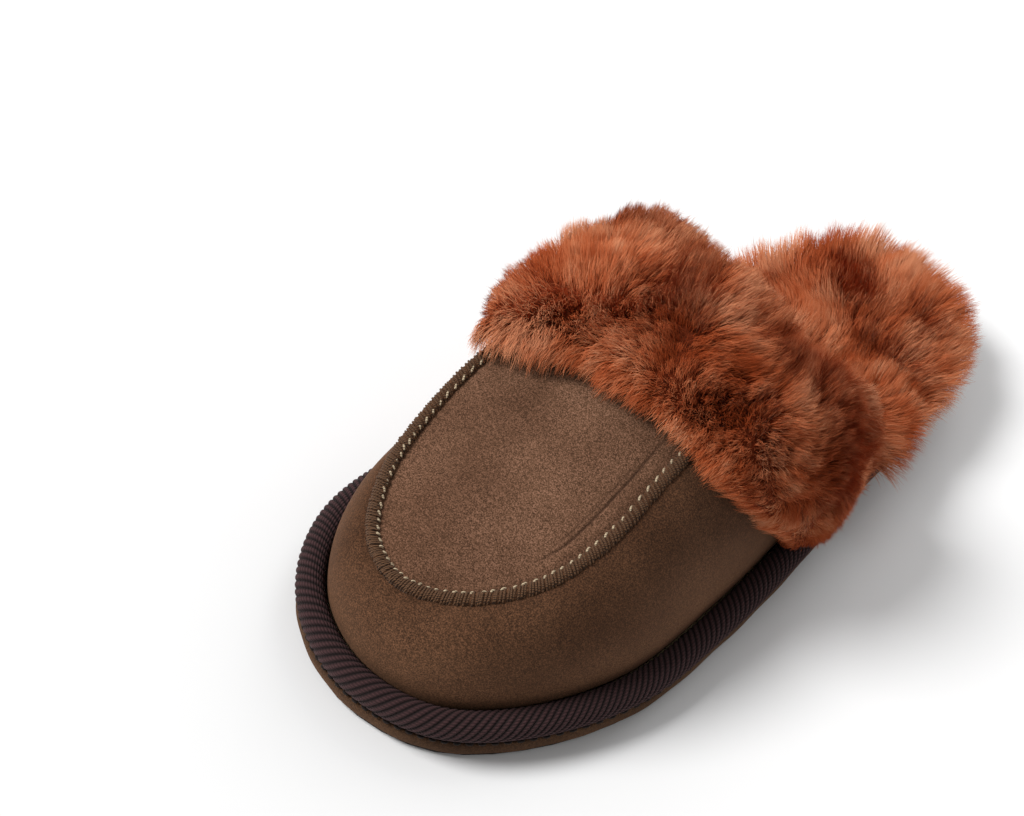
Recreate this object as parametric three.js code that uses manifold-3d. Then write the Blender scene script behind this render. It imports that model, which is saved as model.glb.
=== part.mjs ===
// A fluffy house slipper for the left foot: a flat lasted sole with a rolled twill binding, a suede
// moccasin upper with a raised apron seam, and a sheepskin lining, footbed and turned-down collar.
// Millimetres. +Z up, the toe points to -Y, +X is the outer (lateral) side of a left foot.
import * as THREE from 'three';
import { mergeVertices } from 'three/addons/utils/BufferGeometryUtils.js';
import Module from 'manifold-3d';

const wasm = await Module();
wasm.setup();

// ---- driving dimensions ----
const GAP = 0.3; // clearance between two pieces that touch
const OUTSOLE = { top: 1.5, offset: -1 }; // offsets count outwards from the sole's outline
const GROOVE = { depth: 0.8, width: 2.4, pitch: 9 };
const GROOVE_ROWS = [
  { count: 9, first: -104, x: 2, length: 76 }, // under the ball of the foot
  { count: 5, first: 74, x: 0, length: 48 }, // under the heel
];
const MIDSOLE_TOP = 7.2;
const COVER_THICK = 1.4; // suede strip round the midsole
const BOARD = { bottom: 7.5, top: 9.5, offset: -8.6 };
const FOAM = { bottom: 9.8, top: 16.6, offset: -11.8, heelOffset: -8.6 };
const FOOTBED_SKIN = { bottom: 16.9, top: 17.9, offset: -11.8, heelOffset: -4 };
const FOOTBED_PILE = {
  bottom: 18.2, edge: 25, crown: 28.5, offset: -22.5, heelOffset: -1, heelOverhang: 6, flatShare: 0.72,
};
const ROLL = { offset: -3.2, z: 12, halfWidth: 4.6, halfHeight: 4.4, tapeThick: 1.1 };
const SUEDE_THICK = 1.4;
const LINING_SKIN = { from: 2.1, to: 3.2 }; // depths below the suede's outer face
const LINING_PILE = { from: 3.7, to: 12 };
const COLLAR_SKIN = { from: -4.9, to: -5.8 }; // the collar stands off by the height of the apron seam
const COLLAR_PILE_BASE = -6.2;
const COLLAR_PILE = { middle: 12, ends: 5, frontReach: 4, backReachEnds: 3, backReachMiddle: 11 };
const COLLAR_FOOT = 17.4; // the height at which each collar end stops, just above the binding
const WALL_INSET = -8.2; // the upper stands just inside the rolled binding
const WALL_FOOT = 12.5;
const WALL_BULGE = { outer: 3, inner: 0.6 };
const WALL_FULLNESS = { low: 0.62, high: 0.5 }; // how far the wall's curve stays upright, then level
const LINING_FOOT = 13;
const LINING_PILE_FOOT = 18.6;
const HEEL_STARTS = { from: 47, to: 56 }; // where the insole layers widen behind the upper
const SEAM_RIDGE = { radius: 2.1, lift: 0.5 };
const THREAD_RADIUS = 0.45;

// Sole outline, toe first and then round the outer side to the heel and back up the inner side.
const SOLE_OUTLINE = [
  [-1, -135], [28, -126], [47, -101], [57.5, -66], [56, -27], [50.5, 13], [42.5, 52], [35.5, 90],
  [23.5, 121.5], [0, 135], [-24, 122], [-35, 90], [-38, 52], [-41, 13], [-45.5, -27], [-52.5, -66],
  [-49, -101], [-30, -126],
];
// Apron seam, from the mouth on the outer side, round the toe, to the mouth on the inner side.
const APRON_SEAM = [
  [20, 14, 68], [21, -10, 67], [24, -36, 63.5], [28, -64, 55], [25, -86, 47], [13, -105, 41.5],
  [-3, -115, 40], [-19, -112, 42], [-31, -98, 47], [-37, -81, 53], [-41, -56, 61], [-42, -24, 67],
  [-38, 14, 70],
];
const RIM_SPAN = 5.8 / SOLE_OUTLINE.length; // how far round the outline the upper reaches on each side
const SEAM_SLANT = 0.75; // at the seam a depth counts this much inwards and this much down
const CROWN = 6; // the apron's rise above its seams at the mouth
const CROWN_AT_TOE = 0.5;
const WALL_SHARE = 0.36; // share of an arch that each side wall takes; the apron has the rest
// Where the collar's front edge crosses each arch, counted in steps of the seam list.
const COLLAR_FRONT = [0.85, 1.35, 1.7, 1.7, 1.62, 1.7, 1.8, 1.55, 1.05];
const SEAM_STEPS = APRON_SEAM.length - 1;
const SOLE_STEPS = 64; // facets round the sole
const SEAM_FACETS = 40; // facets along the apron seam

const mix = THREE.MathUtils.lerp;
const smooth = THREE.MathUtils.smoothstep;

// ---- curves and surfaces ----
const soleCurve = new THREE.CatmullRomCurve3(
  SOLE_OUTLINE.map(([x, y]) => new THREE.Vector3(x, y, 0)), true, 'catmullrom', 0.5);
const seamCurve = new THREE.CatmullRomCurve3(
  APRON_SEAM.map(([x, y, z]) => new THREE.Vector3(x, y, z)), false, 'catmullrom', 0.5);
const frontCurve = new THREE.CatmullRomCurve3(
  COLLAR_FRONT.map((k) => new THREE.Vector3(k, 0, 0)), false, 'catmullrom', 0.5);

const wrap = (u) => u - Math.floor(u);

// A point on the sole's outline, moved outwards by offset, at height z.
function solePoint(u, offset, z) {
  const step = 1e-4;
  const along = soleCurve.getPoint(wrap(u + step)).sub(soleCurve.getPoint(wrap(u - step))).normalize();
  return soleCurve.getPoint(wrap(u)).add(new THREE.Vector3(along.y * offset, -along.x * offset, z));
}

// The upper's lower edge: share 0 is the mouth on the outer side, 1 the mouth on the inner side.
const rimPoint = (share, offset, z) => solePoint(RIM_SPAN * (1 - 2 * share), offset, z);

function seamPoint(share, depth) {
  const step = 1e-3;
  const along = seamCurve.getPoint(Math.min(share + step, 1));
  along.sub(seamCurve.getPoint(Math.max(share - step, 0)));
  along.setZ(0).normalize();
  const inward = SEAM_SLANT * depth;
  return seamCurve.getPoint(share).add(new THREE.Vector3(along.y, -along.x, -1).multiplyScalar(inward));
}

// The side wall from the binding (rise 0) to the apron seam (rise 1), at a depth below the suede's face.
function wallPoint(share, rise, depth) {
  const low = rimPoint(share, WALL_INSET - depth, WALL_FOOT);
  const high = seamPoint(share, depth);
  const out = rimPoint(share, WALL_INSET - depth + 1, WALL_FOOT).sub(low);
  out.multiplyScalar(mix(WALL_BULGE.outer, WALL_BULGE.inner, smooth(share, 0.55, 0.75)));
  const height = high.z - WALL_FOOT;
  const lowHandle = low.clone().add(new THREE.Vector3(0, 0, WALL_FULLNESS.low * height)).add(out);
  const highHandle = high.clone().lerp(new THREE.Vector3(low.x, low.y, high.z), WALL_FULLNESS.high);
  highHandle.addScaledVector(out, 0.5);
  return new THREE.CubicBezierCurve3(low, lowHandle, highHandle, high).getPoint(rise);
}

// How far up the side wall a height z is reached.
function riseAt(share, z, depth) {
  let low = 0;
  let high = 1;
  for (let i = 0; i < 16; i += 1) {
    const middle = (low + high) / 2;
    if (wallPoint(share, middle, depth).z < z) low = middle;
    else high = middle;
  }
  return low;
}

// The apron between its two seams: across 0 is the outer seam, 1 the inner seam.
function apronPoint(share, across, depth) {
  const point = seamPoint(share, depth).lerp(seamPoint(1 - share, depth), across);
  const crown = CROWN_AT_TOE + CROWN * (1 - (2 * share) ** 2.2) - (1 - SEAM_SLANT) * depth;
  point.z += crown * 4 * across * (1 - across);
  return point;
}

// One arch of the upper, over the foot from the outer side (arc 0) to the inner side (arc 1).
// Its two ends stand at height foot.
function archPoint(arc, share, depth, foot = WALL_FOOT) {
  const sidePoint = (side, climb) => wallPoint(side, mix(riseAt(side, foot, depth), 1, climb), depth);
  if (arc < WALL_SHARE) return sidePoint(share, arc / WALL_SHARE);
  if (arc > 1 - WALL_SHARE) return sidePoint(1 - share, (1 - arc) / WALL_SHARE);
  return apronPoint(share, (arc - WALL_SHARE) / (1 - 2 * WALL_SHARE), depth);
}

// ---- building solids ----
// A closed body from a list of points and triangles, turned so that its faces point out.
function closedGeometry(points, triangles) {
  const flat = points.flatMap((p) => [p.x, p.y, p.z]);
  let geometry = new THREE.BufferGeometry();
  geometry.setAttribute('position', new THREE.Float32BufferAttribute(flat, 3));
  geometry.setIndex(triangles.flat());
  geometry = mergeVertices(geometry, 1e-3);
  const index = Array.from(geometry.index.array);
  const kept = [];
  for (let i = 0; i < index.length; i += 3) {
    const [a, b, c] = index.slice(i, i + 3);
    if (a !== b && b !== c && a !== c) kept.push([a, b, c]);
  }
  const at = (i) => new THREE.Vector3().fromBufferAttribute(geometry.attributes.position, i);
  const volume = kept.reduce((sum, [a, b, c]) => sum + at(a).dot(at(b).cross(at(c))), 0);
  geometry.setIndex((volume < 0 ? kept.map(([a, b, c]) => [a, c, b]) : kept).flat());
  geometry.computeVertexNormals();
  return geometry;
}

// A slab between two surfaces that share their parameters, closed along the named sides.
function slab(face, back, nu, nv, sides = ['u0', 'u1', 'v0', 'v1']) {
  const points = [];
  const triangles = [];
  const count = (nu + 1) * (nv + 1);
  for (const surface of [face, back]) {
    for (let i = 0; i <= nu; i += 1) {
      for (let j = 0; j <= nv; j += 1) points.push(surface(i / nu, j / nv));
    }
  }
  const at = (i, j) => i * (nv + 1) + j;
  const quad = (a, b, c, d) => triangles.push([a, b, c], [a, c, d]);
  for (let i = 0; i < nu; i += 1) {
    for (let j = 0; j < nv; j += 1) {
      quad(at(i, j), at(i + 1, j), at(i + 1, j + 1), at(i, j + 1));
      quad(at(i, j) + count, at(i, j + 1) + count, at(i + 1, j + 1) + count, at(i + 1, j) + count);
    }
  }
  const edge = (a, b) => quad(b, a, a + count, b + count);
  for (let j = 0; j < nv; j += 1) {
    if (sides.includes('u0')) edge(at(0, j + 1), at(0, j));
    if (sides.includes('u1')) edge(at(nu, j), at(nu, j + 1));
  }
  for (let i = 0; i < nu; i += 1) {
    if (sides.includes('v0')) edge(at(i, 0), at(i + 1, 0));
    if (sides.includes('v1')) edge(at(i + 1, nv), at(i, nv));
  }
  return closedGeometry(points, triangles);
}

// A closed ring: section(u, turn) goes round the sole with u and round the section with turn.
function ring(section, nu, nTurn) {
  const points = [];
  const triangles = [];
  for (let i = 0; i < nu; i += 1) {
    for (let j = 0; j < nTurn; j += 1) points.push(section(i / nu, j / nTurn));
  }
  const at = (i, j) => (i % nu) * nTurn + (j % nTurn);
  for (let i = 0; i < nu; i += 1) {
    for (let j = 0; j < nTurn; j += 1) {
      triangles.push([at(i, j), at(i + 1, j), at(i + 1, j + 1)], [at(i, j), at(i + 1, j + 1), at(i, j + 1)]);
    }
  }
  return closedGeometry(points, triangles);
}

// A flat plate with the sole's outline; offsetAt(u) is its distance outside that outline.
function plate(offsetAt, bottom, top, steps = SOLE_STEPS) {
  const shape = new THREE.Shape();
  for (let i = 0; i < steps; i += 1) {
    const p = solePoint(i / steps, offsetAt(i / steps), 0);
    if (i === 0) shape.moveTo(p.x, p.y);
    else shape.lineTo(p.x, p.y);
  }
  shape.closePath();
  const geometry = new THREE.ExtrudeGeometry(shape, { depth: top - bottom, bevelEnabled: false, steps: 1 });
  geometry.translate(0, 0, bottom);
  return geometry;
}

// A round tube along a curve, with flat ends.
function tube(curve, radius, steps, sides) {
  const section = new THREE.Shape();
  section.absarc(0, 0, radius, 0, 2 * Math.PI, false);
  return new THREE.ExtrudeGeometry(section, {
    steps, extrudePath: curve, bevelEnabled: false, curveSegments: sides / 2,
  });
}

function toSolid(geometry) {
  const bare = geometry.clone();
  bare.deleteAttribute('normal');
  bare.deleteAttribute('uv');
  const merged = mergeVertices(bare, 1e-4);
  return new wasm.Manifold(new wasm.Mesh({
    numProp: 3,
    vertProperties: new Float32Array(merged.attributes.position.array),
    triVerts: new Uint32Array(merged.index.array),
  }));
}

function cutFrom(geometry, cutters) {
  let solid = toSolid(geometry);
  for (const cutter of cutters) solid = solid.subtract(toSolid(cutter));
  const mesh = solid.getMesh();
  const cut = new THREE.BufferGeometry();
  cut.setAttribute('position', new THREE.BufferAttribute(mesh.vertProperties, 3));
  cut.setIndex(new THREE.BufferAttribute(mesh.triVerts, 1));
  cut.computeVertexNormals();
  return cut;
}

// ---- sole ----
function outsoleGeometry() {
  const grooves = [];
  for (const { count, first, x, length } of GROOVE_ROWS) {
    for (let i = 0; i < count; i += 1) {
      const groove = new THREE.BoxGeometry(length, GROOVE.width, 2 * GROOVE.depth);
      grooves.push(groove.translate(x, first + GROOVE.pitch * i, 0));
    }
  }
  return cutFrom(plate(() => OUTSOLE.offset, 0, OUTSOLE.top), grooves);
}

function midsoleCoverGeometry() {
  const low = OUTSOLE.top + GAP;
  const corners = [[0, low], [0, MIDSOLE_TOP], [-COVER_THICK, MIDSOLE_TOP], [-COVER_THICK, low]];
  return ring((u, turn) => {
    const [offset, z] = corners[Math.round(turn * corners.length)];
    return solePoint(u, offset, z);
  }, SOLE_STEPS, corners.length);
}

// The rolled binding's oval section, shrunk by inset.
function rollPoint(u, angle, inset) {
  const offset = ROLL.offset + (ROLL.halfWidth - inset) * Math.cos(angle);
  return solePoint(u, offset, ROLL.z + (ROLL.halfHeight - inset) * Math.sin(angle));
}

function bindingTapeGeometry() {
  const arcSteps = 6;
  const halfWrap = THREE.MathUtils.degToRad(150);
  return ring((u, turn) => {
    const k = Math.round(turn * 2 * (arcSteps + 1));
    const outside = k <= arcSteps;
    const t = outside ? k / arcSteps : (2 * arcSteps + 1 - k) / arcSteps;
    return rollPoint(u, mix(-halfWrap, halfWrap, t), outside ? 0 : ROLL.tapeThick);
  }, SOLE_STEPS, 2 * (arcSteps + 1));
}

const bindingCordGeometry = () =>
  ring((u, turn) => rollPoint(u, 2 * Math.PI * turn, ROLL.tapeThick + 2 * GAP), SOLE_STEPS, 6);

function soleStitchGeometry() {
  const centreZ = MIDSOLE_TOP + GAP + THREAD_RADIUS + 0.1;
  return ring((u, turn) => {
    const angle = 2 * Math.PI * turn;
    return solePoint(u, 0.4 + THREAD_RADIUS * Math.cos(angle), centreZ + THREAD_RADIUS * Math.sin(angle));
  }, SOLE_STEPS, 3);
}

// An inner layer's edge is tucked further in under the upper than round the open heel.
const edgeOffset = (underUpper, atHeel) => (u) =>
  mix(underUpper, atHeel, smooth(soleCurve.getPoint(wrap(u)).y, HEEL_STARTS.from, HEEL_STARTS.to));

const innerPlate = (layer) => plate(edgeOffset(layer.offset, layer.heelOffset), layer.bottom, layer.top);

function footbedPileGeometry() {
  const foot = edgeOffset(FOOTBED_PILE.offset, FOOTBED_PILE.heelOffset);
  const bulge = edgeOffset(FOOTBED_PILE.offset, FOOTBED_PILE.heelOverhang);
  const centre = new THREE.Vector3(0, 60, 0); // every edge point is in plain sight of it
  const bottom = (u, r) => solePoint(u, foot(u), 0).lerp(centre, 1 - r).setZ(FOOTBED_PILE.bottom);
  const top = (u, r) => {
    const edge = Math.max(0, (r - FOOTBED_PILE.flatShare) / (1 - FOOTBED_PILE.flatShare));
    const p = solePoint(u, bulge(u), 0).lerp(centre, 1 - r);
    return p.setZ(mix(FOOTBED_PILE.crown, FOOTBED_PILE.edge, edge ** 2));
  };
  return slab(top, bottom, SOLE_STEPS, 4, ['v1']);
}

// ---- upper ----
class SeamLine extends THREE.Curve {
  constructor(from, to, inward, lift) {
    super();
    Object.assign(this, { from, to, inward, lift });
  }

  getPoint(t) {
    const share = mix(this.from, this.to, t);
    const onSeam = THREE.MathUtils.clamp(share, 0, 1);
    return seamPoint(onSeam, this.inward / SEAM_SLANT)
      .add(new THREE.Vector3(0, 0, this.inward + this.lift))
      .addScaledVector(seamCurve.getTangent(onSeam), (share - onSeam) * seamCurve.getLength());
  }
}

const seamRidge = new SeamLine(0.015, 0.985, 0, SEAM_RIDGE.lift);
const seamCutter = () =>
  tube(new SeamLine(-0.02, 1.02, 0, SEAM_RIDGE.lift), SEAM_RIDGE.radius + 1.5 * GAP, SEAM_FACETS, 8);

const vampWallGeometry = () => cutFrom(
  slab((u, v) => wallPoint(u, v, 0), (u, v) => wallPoint(u, v, SUEDE_THICK), 36, 6), [seamCutter()]);

const apronGeometry = () => cutFrom(
  slab(
    (u, v) => apronPoint(u / 2, v, 0), (u, v) => apronPoint(u / 2, v, SUEDE_THICK),
    18, 6, ['u0', 'v0', 'v1']),
  [seamCutter()]);

// The lining's arches close on themselves at the toe, so that end needs no edge face.
function liningGeometry(layer, foot) {
  return slab(
    (u, v) => archPoint(u, v / 2, layer.from, foot), (u, v) => archPoint(u, v / 2, layer.to, foot),
    24, 14, ['u0', 'u1', 'v0']);
}

// The ivory needle thread lies along the ridge's inner foot.
function needleThreadGeometry() {
  const reach = SEAM_RIDGE.radius + GAP + THREAD_RADIUS + 0.2;
  return tube(new SeamLine(0.02, 0.98, reach, 3.3), THREAD_RADIUS, SEAM_FACETS, 4);
}

// ---- collar ----
const collarPoint = (u, v, depth) =>
  archPoint(u, v * frontCurve.getPoint(u).x / SEAM_STEPS, depth, COLLAR_FOOT);

const collarSkinGeometry = () => slab(
  (u, v) => collarPoint(u, v, COLLAR_SKIN.to), (u, v) => collarPoint(u, v, COLLAR_SKIN.from), 30, 3);

// The pile's rounded back: v 0 is the mouth edge and v 1 the front edge.
function collarPileTop(u, v) {
  const step = 0.02;
  const base = collarPoint(u, v, COLLAR_PILE_BASE);
  const along = collarPoint(u, Math.min(v + step, 1), COLLAR_PILE_BASE)
    .sub(collarPoint(u, Math.max(v - step, 0), COLLAR_PILE_BASE)).normalize();
  const across = collarPoint(Math.min(u + step, 1), v, COLLAR_PILE_BASE)
    .sub(collarPoint(Math.max(u - step, 0), v, COLLAR_PILE_BASE)).normalize();
  const normal = across.cross(along).normalize();
  const middle = Math.sin(Math.PI * u) ** 0.6;
  const theta = Math.PI * v;
  const height = mix(COLLAR_PILE.ends, COLLAR_PILE.middle, middle) * (0.25 + 0.75 * Math.sin(theta) ** 0.6);
  const backReach = mix(COLLAR_PILE.backReachEnds, COLLAR_PILE.backReachMiddle, middle);
  const reach = v > 0.5 ? COLLAR_PILE.frontReach : backReach;
  return base.addScaledVector(normal, height).addScaledVector(along, -reach * Math.cos(theta));
}

const collarPileGeometry = () =>
  slab(collarPileTop, (u, v) => collarPoint(u, v, COLLAR_PILE_BASE), 30, 8);

// The thread that joins upper, lining and collar round the mouth.
class MouthLine extends THREE.Curve {
  getPoint(t) {
    return archPoint(t, 0.004, -1.5, COLLAR_FOOT);
  }
}

// ---- the assembly ----
const RUST = '#a0532f';
const SKIN_TAN = '#8a5a40';
const SUEDE = '#4e3b2f';
const finishes = {
  rubber: ['#2b221d', 0.85], foam: ['#4a3d34', 0.95], suede: [SUEDE, 0.95], twill: ['#2d2226', 0.9],
  board: ['#b5a285', 0.9], skin: [SKIN_TAN, 0.85], pile: [RUST, 1.0], thread: ['#4a3c2c', 0.8],
  ivory: ['#cdb99c', 0.75], cotton: ['#cfc6b4', 0.9], apron: ['#5f4a3b', 0.95], dark: ['#241b1b', 0.85],
};

const group = new THREE.Group();
function add(name, geometry, finish) {
  const [color, roughness] = finishes[finish];
  const mesh = new THREE.Mesh(geometry, new THREE.MeshStandardMaterial({ color, roughness, metalness: 0 }));
  mesh.name = name;
  group.add(mesh);
}

add('outsole', outsoleGeometry(), 'rubber');
add('midsole', plate(() => -COVER_THICK - GAP, OUTSOLE.top + GAP, MIDSOLE_TOP), 'foam');
add('midsole_cover', midsoleCoverGeometry(), 'suede');
add('insole_board', plate(() => BOARD.offset, BOARD.bottom, BOARD.top), 'board');
add('insole_foam', innerPlate(FOAM), 'foam');
add('footbed_skin', innerPlate(FOOTBED_SKIN), 'skin');
add('footbed_pile', footbedPileGeometry(), 'pile');
add('binding_cord', bindingCordGeometry(), 'cotton');
add('binding_tape', bindingTapeGeometry(), 'twill');
add('binding_stitch_thread', soleStitchGeometry(), 'dark');
add('vamp_wall', vampWallGeometry(), 'suede');
add('apron', apronGeometry(), 'apron');
add('apron_overlock_thread', tube(seamRidge, SEAM_RIDGE.radius, SEAM_FACETS, 8), 'thread');
add('apron_needle_thread', needleThreadGeometry(), 'ivory');
add('lining_skin', cutFrom(liningGeometry(LINING_SKIN, LINING_FOOT), [seamCutter()]), 'skin');
add('lining_pile', liningGeometry(LINING_PILE, LINING_PILE_FOOT), 'pile');
add('collar_skin', collarSkinGeometry(), 'skin');
add('collar_pile', collarPileGeometry(), 'pile');
add('mouth_stitch_thread', tube(new MouthLine(), THREAD_RADIUS, 28, 4), 'dark');

// The origin stands under the middle of the whole slipper.
const middle = new THREE.Box3().setFromObject(group).getCenter(new THREE.Vector3());
group.position.set(-middle.x, -middle.y, 0);
group.updateMatrixWorld(true);

export default group;
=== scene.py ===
"""A fluffy house slipper for the left foot: suede moccasin upper, sheepskin collar, footbed and lining,
rolled twill binding and a flat lasted sole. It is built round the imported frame, in metres.
The shapes below are worked out in millimetres from the same outline and seam as the frame's solids."""

import math

import bmesh
import bpy
import numpy as np
from mathutils import Matrix, Vector, kdtree


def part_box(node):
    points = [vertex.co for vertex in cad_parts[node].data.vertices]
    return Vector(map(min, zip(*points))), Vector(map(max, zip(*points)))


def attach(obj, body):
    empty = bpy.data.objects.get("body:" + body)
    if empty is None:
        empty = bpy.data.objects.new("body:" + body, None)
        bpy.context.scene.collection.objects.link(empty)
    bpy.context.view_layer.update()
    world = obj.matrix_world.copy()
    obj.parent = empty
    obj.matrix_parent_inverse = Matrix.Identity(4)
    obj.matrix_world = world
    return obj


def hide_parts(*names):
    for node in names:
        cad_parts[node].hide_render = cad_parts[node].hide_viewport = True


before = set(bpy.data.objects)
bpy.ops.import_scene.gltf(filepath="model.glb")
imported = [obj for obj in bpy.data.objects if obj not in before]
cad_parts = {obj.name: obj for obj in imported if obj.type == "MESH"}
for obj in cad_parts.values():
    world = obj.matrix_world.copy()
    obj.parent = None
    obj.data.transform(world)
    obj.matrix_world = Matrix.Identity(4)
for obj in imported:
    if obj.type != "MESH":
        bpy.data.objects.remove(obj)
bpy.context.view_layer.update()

# ---- driving dimensions, in millimetres ----
MM = 0.001
SOLE_OUTLINE = [
    (-1, -135), (28, -126), (47, -101), (57.5, -66), (56, -27), (50.5, 13), (42.5, 52), (35.5, 90),
    (23.5, 121.5), (0, 135), (-24, 122), (-35, 90), (-38, 52), (-41, 13), (-45.5, -27), (-52.5, -66),
    (-49, -101), (-30, -126),
]
APRON_SEAM = [
    (20, 14, 68), (21, -10, 67), (24, -36, 63.5), (28, -64, 55), (25, -86, 47), (13, -105, 41.5),
    (-3, -115, 40), (-19, -112, 42), (-31, -98, 47), (-37, -81, 53), (-41, -56, 61), (-42, -24, 67),
    (-38, 14, 70),
]
COLLAR_FRONT = [0.85, 1.35, 1.7, 1.7, 1.62, 1.7, 1.8, 1.55, 1.05]  # in steps along the apron seam
RIM_SPAN = 5.8 / len(SOLE_OUTLINE)  # from the toe to the mouth, as a share of the outline
SEAM_SLANT = 0.75  # how far in and down the seam moves for each millimetre below the suede's face
CROWN, CROWN_AT_TOE = 6, 0.5  # how far the apron rises between its two seams
WALL_SHARE = 0.36  # the part of an arch that is wall, on each side of the apron
WALL_INSET, WALL_FOOT = -8.2, 12.5
WALL_BULGE = (3, 0.6)  # on the outer and the inner side
WALL_FULLNESS = (0.62, 0.5)  # how far up and how far out the wall's curve is pulled
SUEDE_THICK = 1.4
COLLAR_BASE, COLLAR_FOOT = -6.2, 17.4
COLLAR_HEIGHT = (5, 12)  # at the two ends and in the middle
COLLAR_REACH_FRONT = 4
COLLAR_REACH_BACK = (3, 11)  # at the two ends and in the middle
LINING_BASE, LINING_REACH, LINING_FOOT = 3.7, 11, 18.6
FOOTBED_BASE = 18.2
FOOTBED_TOP = (28.5, 25)  # crown and edge
FOOTBED_CENTRE = (0, 60)
FOOTBED_OFFSET = (-22.5, -1)  # tucked in under the upper, and at the heel
FOOTBED_BULGE = (-22.5, 6)  # of the pile's top, at the same places
HEEL_STARTS = (47, 56)  # between these the footbed comes out from under the upper
ROLL_OFFSET, ROLL_Z, ROLL_WIDE, ROLL_HIGH = -3.2, 12, 4.6, 4.4
TAPE_THICK, TAPE_WIDTH = 1.1, 33
RIB_PITCH, RIB_HEIGHT = 2.5, 0.5
RIB_SLANT = 22  # how far along the tape a rib runs on its way across,
TOE_SLANT, INNER_SLANT = 4, -11  # and what is added at the toe and on the inner side
STRIP_BOTTOM, STRIP_TOP, STRIP_THICK = 1.8, 7.2, 1.4
SOLE_STITCH_PITCH, SOLE_STITCH_LENGTH, SOLE_STITCH_RADIUS = 4.2, 2.6, 0.42
RIDGE_RADIUS, RIDGE_LIFT = 2.1, 0.5
STITCH_PITCH = 3.3
LOOPS_PER_STITCH, LOOP_RADIUS, NEEDLE_RADIUS = 3, 0.36, 0.38
SEAM_USED = 0.97  # the share of the seam's length that is stitched
FIBRE_WIDTH = 0.18
COLLAR_FIBRES, FOOTBED_FIBRES, LINING_FIBRES, MOUTH_FIBRES = 112000, 96000, 18000, 26000
ROOT_DEPTH = 0.15  # of the pile's height, where its fibres start
BODY_SHARE, BODY_LUMPS = 0.55, 0.05  # of the pile's height, for the dense wool under the fibres


# ---- curves and surfaces ----
def mix(a, b, t):
    return a + (b - a) * t


def smooth(x, low, high):
    t = np.clip((x - low) / (high - low), 0, 1)
    return t * t * (3 - 2 * t)


def bump(x, middle, width):
    """A rounded rise to 1 at the middle."""
    return np.exp(-((x - middle) / width) ** 2)


def unit(v):
    return v / np.maximum(np.linalg.norm(v, axis=-1, keepdims=True), 1e-9)


def spline(points, t, closed=False):
    """A Catmull-Rom curve through the points, at shares t of its steps."""
    points = np.asarray(points, float)
    if points.ndim == 1:
        points = points[:, None]
    if closed:
        ring = np.vstack([points[-1:], points, points[:2]])
        x = (np.asarray(t, float) % 1) * len(points)
    else:
        ring = np.vstack([2 * points[0] - points[1], points, 2 * points[-1] - points[-2]])
        x = np.clip(t, 0, 1) * (len(points) - 1)
    i = np.minimum(np.floor(x).astype(int), len(ring) - 4)
    w = (x - i)[..., None]
    p0, p1, p2, p3 = (ring[i + k] for k in range(4))
    return 0.5 * (2 * p1 + (p2 - p0) * w + (2 * p0 - 5 * p1 + 4 * p2 - p3) * w**2
                  + (3 * p1 - p0 - 3 * p2 + p3) * w**3)


def sole_point(u, offset, z):
    """A point on the sole's outline, moved outwards by offset, at height z."""
    step = 1e-4
    u, offset, z = np.broadcast_arrays(np.asarray(u, float), offset, z)
    along = unit(spline(SOLE_OUTLINE, u + step, True) - spline(SOLE_OUTLINE, u - step, True))
    place = spline(SOLE_OUTLINE, u, True)
    return np.stack([place[..., 0] + along[..., 1] * offset, place[..., 1] - along[..., 0] * offset, z], -1)


def rim_point(share, offset, z):
    """The upper's lower edge: share 0 is the mouth on the outer side, 1 the mouth on the inner side."""
    return sole_point(RIM_SPAN * (1 - 2 * share), offset, z)


def seam_point(share, depth):
    """The apron's seam, from the mouth on the outer side round the toe to the mouth on the inner side."""
    step = 1e-3
    along = spline(APRON_SEAM, share + step) - spline(APRON_SEAM, share - step)
    along[..., 2] = 0
    along = unit(along)
    slant = np.stack([along[..., 1], -along[..., 0], -np.ones_like(along[..., 0])], -1)
    return spline(APRON_SEAM, share) + slant * SEAM_SLANT * np.asarray(depth)[..., None]


def wall_point(share, rise, depth):
    """The side wall from the binding (rise 0) to the apron seam (rise 1), below the suede's face."""
    share, rise, depth = np.broadcast_arrays(np.asarray(share, float), rise, depth)
    low = rim_point(share, WALL_INSET - depth, WALL_FOOT)
    high = seam_point(share, depth)
    out = rim_point(share, WALL_INSET - depth + 1, WALL_FOOT) - low
    out = out * mix(*WALL_BULGE, smooth(share, 0.55, 0.75))[..., None]
    height = high[..., 2:] - WALL_FOOT
    low_handle = low + np.array([0, 0, 1]) * WALL_FULLNESS[0] * height + out
    above = np.concatenate([low[..., :2], high[..., 2:]], -1)
    high_handle = mix(high, above, WALL_FULLNESS[1]) + 0.5 * out
    t = rise[..., None]
    return (low * (1 - t) ** 3 + 3 * low_handle * t * (1 - t) ** 2
            + 3 * high_handle * t**2 * (1 - t) + high * t**3)


def rise_at(share, z, depth):
    """How far up the side wall a height z is reached."""
    low, high = np.zeros_like(share), np.ones_like(share)
    for _ in range(16):
        middle = (low + high) / 2
        under = wall_point(share, middle, depth)[..., 2] < z
        low, high = np.where(under, middle, low), np.where(under, high, middle)
    return low


def apron_point(share, across, depth):
    """The apron between its two seams: across 0 is the outer seam, 1 the inner seam."""
    share, across, depth = np.broadcast_arrays(np.asarray(share, float), across, depth)
    point = mix(seam_point(share, depth), seam_point(1 - share, depth), across[..., None])
    crown = CROWN_AT_TOE + CROWN * (1 - np.abs(2 * share) ** 2.2) - (1 - SEAM_SLANT) * depth
    point[..., 2] += crown * 4 * across * (1 - across)
    return point


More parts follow.
